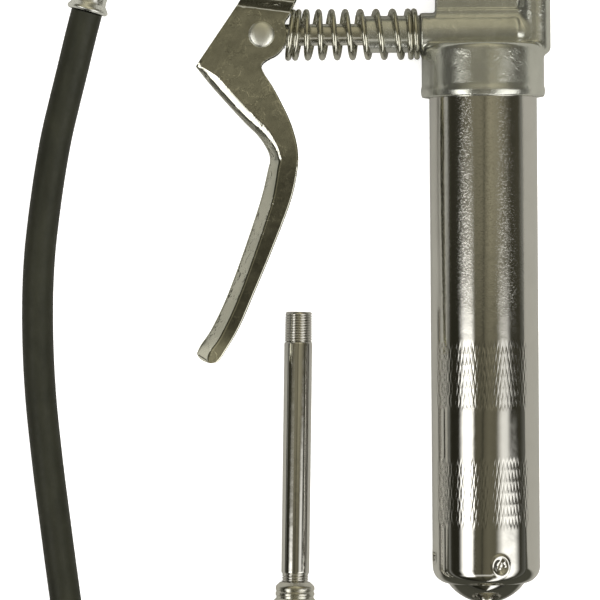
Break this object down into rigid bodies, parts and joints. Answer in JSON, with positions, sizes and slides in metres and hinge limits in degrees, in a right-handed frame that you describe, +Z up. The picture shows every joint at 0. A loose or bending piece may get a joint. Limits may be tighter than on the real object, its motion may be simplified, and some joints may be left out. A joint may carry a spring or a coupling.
{
  "type": "grease gun",
  "caption": "Pistol-type mini grease gun: a trigger lever pumps grease from a screw-on barrel through a cast head; a rigid tube and a rubber hose, each with a coupler, lie beside it.",
  "frame": {"origin": "centre of the outlet port's mouth, at the front of the head's arm", "axes": "-X out of the outlet port, +Y from the barrel towards the head, +Z up off the surface that everything lies on"},
  "size_m": [0.1948, 0.3599, 0.0451],
  "materials": {
    "nickel_casting": "plated die casting, slightly uneven",
    "chrome_plate": "bright chrome plate",
    "pressed_steel": "satin nickel-plated sheet",
    "plated_steel": "bright zinc plate",
    "spring_wire": "bright drawn wire",
    "seal_rubber": "moulded",
    "hose_rubber": "satin extruded"
  },
  "bodies": {
    "head": {"head_casting": "nickel_casting", "plunger_seal": "seal_rubber", "check_spring": "spring_wire", "check_plug": "plated_steel", "return_spring": "spring_wire"},
    "check_valve": {"check_ball": "plated_steel"},
    "lever": {"lever": "pressed_steel", "lever_pivot_rivet": "plated_steel", "plunger_rivet": "plated_steel"},
    "plunger": {"plunger": "plated_steel"},
    "gasket": {"barrel_gasket": "seal_rubber"},
    "barrel": {"barrel_tube": "chrome_plate", "barrel_end_cap": "chrome_plate", "follower_spring": "spring_wire"},
    "follower": {"follower_rod": "plated_steel", "rod_knob": "chrome_plate", "follower_cup": "seal_rubber", "follower_plate": "plated_steel", "follower_nut": "plated_steel"},
    "rigid_tube": {"rigid_tube": "chrome_plate", "tube_coupler_body": "plated_steel", "tube_coupler_sleeve": "plated_steel", "tube_coupler_spring": "spring_wire"},
    "tube_jaws": {"tube_coupler_jaws": "plated_steel", "tube_coupler_seal": "seal_rubber"},
    "hose": {"hose": "hose_rubber", "hose_inlet_nipple": "plated_steel", "hose_inlet_ferrule": "plated_steel", "hose_outlet_ferrule": "plated_steel", "hose_outlet_nipple": "plated_steel", "hose_coupler_body": "plated_steel", "hose_coupler_sleeve": "plated_steel", "hose_coupler_spring": "spring_wire"},
    "hose_jaws": {"hose_coupler_jaws": "plated_steel", "hose_coupler_seal": "seal_rubber"}
  },
  "joints": [
    {"name": "lever_pivot", "type": "hinge", "parent": "head", "child": "lever", "pos_m": [0.0125, -0.011, 0], "axis": [0, 0, 1], "range_deg": [0, 29], "stiffness_Nm_per_rad": 2, "springref_deg": -14.32},
    {"name": "plunger_slide", "type": "slide", "parent": "head", "child": "plunger", "axis": [1, 0, 0], "range_m": [0, 0.0124], "deforming": ["return_spring"]},
    {"name": "check_lift", "type": "slide", "parent": "head", "child": "check_valve", "axis": [0, 1, 0], "range_m": [0, 0.0015], "stiffness_N_per_m": 60, "springref_m": -0.001, "deforming": ["check_spring"]},
    {"name": "barrel_advance", "type": "slide", "parent": "head", "child": "gasket", "axis": [0, -1, 0], "range_m": [0, 0.0161]},
    {"name": "barrel_unscrew", "type": "hinge", "parent": "gasket", "child": "barrel", "pos_m": [0.084, -0.1, 0], "axis": [0, -1, 0], "range_deg": [0, 2880]},
    {"name": "follower_pull", "type": "slide", "parent": "barrel", "child": "follower", "axis": [0, -1, 0], "range_m": [0, 0.135], "stiffness_N_per_m": 150, "springref_m": -0.02, "deforming": ["follower_spring"]},
    {"name": "tube_lift", "type": "slide", "parent": "head", "child": "rigid_tube", "axis": [0, 0, 1], "range_m": [0, 0.1]},
    {"name": "tube_jaws_push", "type": "slide", "parent": "rigid_tube", "child": "tube_jaws", "axis": [0.0209, 0.9994, -0.0274], "range_m": [0, 0.0015], "stiffness_N_per_m": 400, "springref_m": -0.001, "deforming": ["tube_coupler_spring"]},
    {"name": "hose_lift", "type": "slide", "parent": "head", "child": "hose", "axis": [0, 0, 1], "range_m": [0, 0.1]},
    {"name": "hose_jaws_push", "type": "slide", "parent": "hose", "child": "hose_jaws", "axis": [-0.1372, 0.9905, 0], "range_m": [0, 0.0015], "stiffness_N_per_m": 400, "springref_m": -0.001, "deforming": ["hose_coupler_spring"]}
  ],
  "couplings": [
    {"joint": "plunger_slide", "follows": "lever_pivot", "m_per_rad": 0.0242},
    {"joint": "barrel_advance", "follows": "barrel_unscrew", "m_per_rad": 0.00031831}
  ]
}
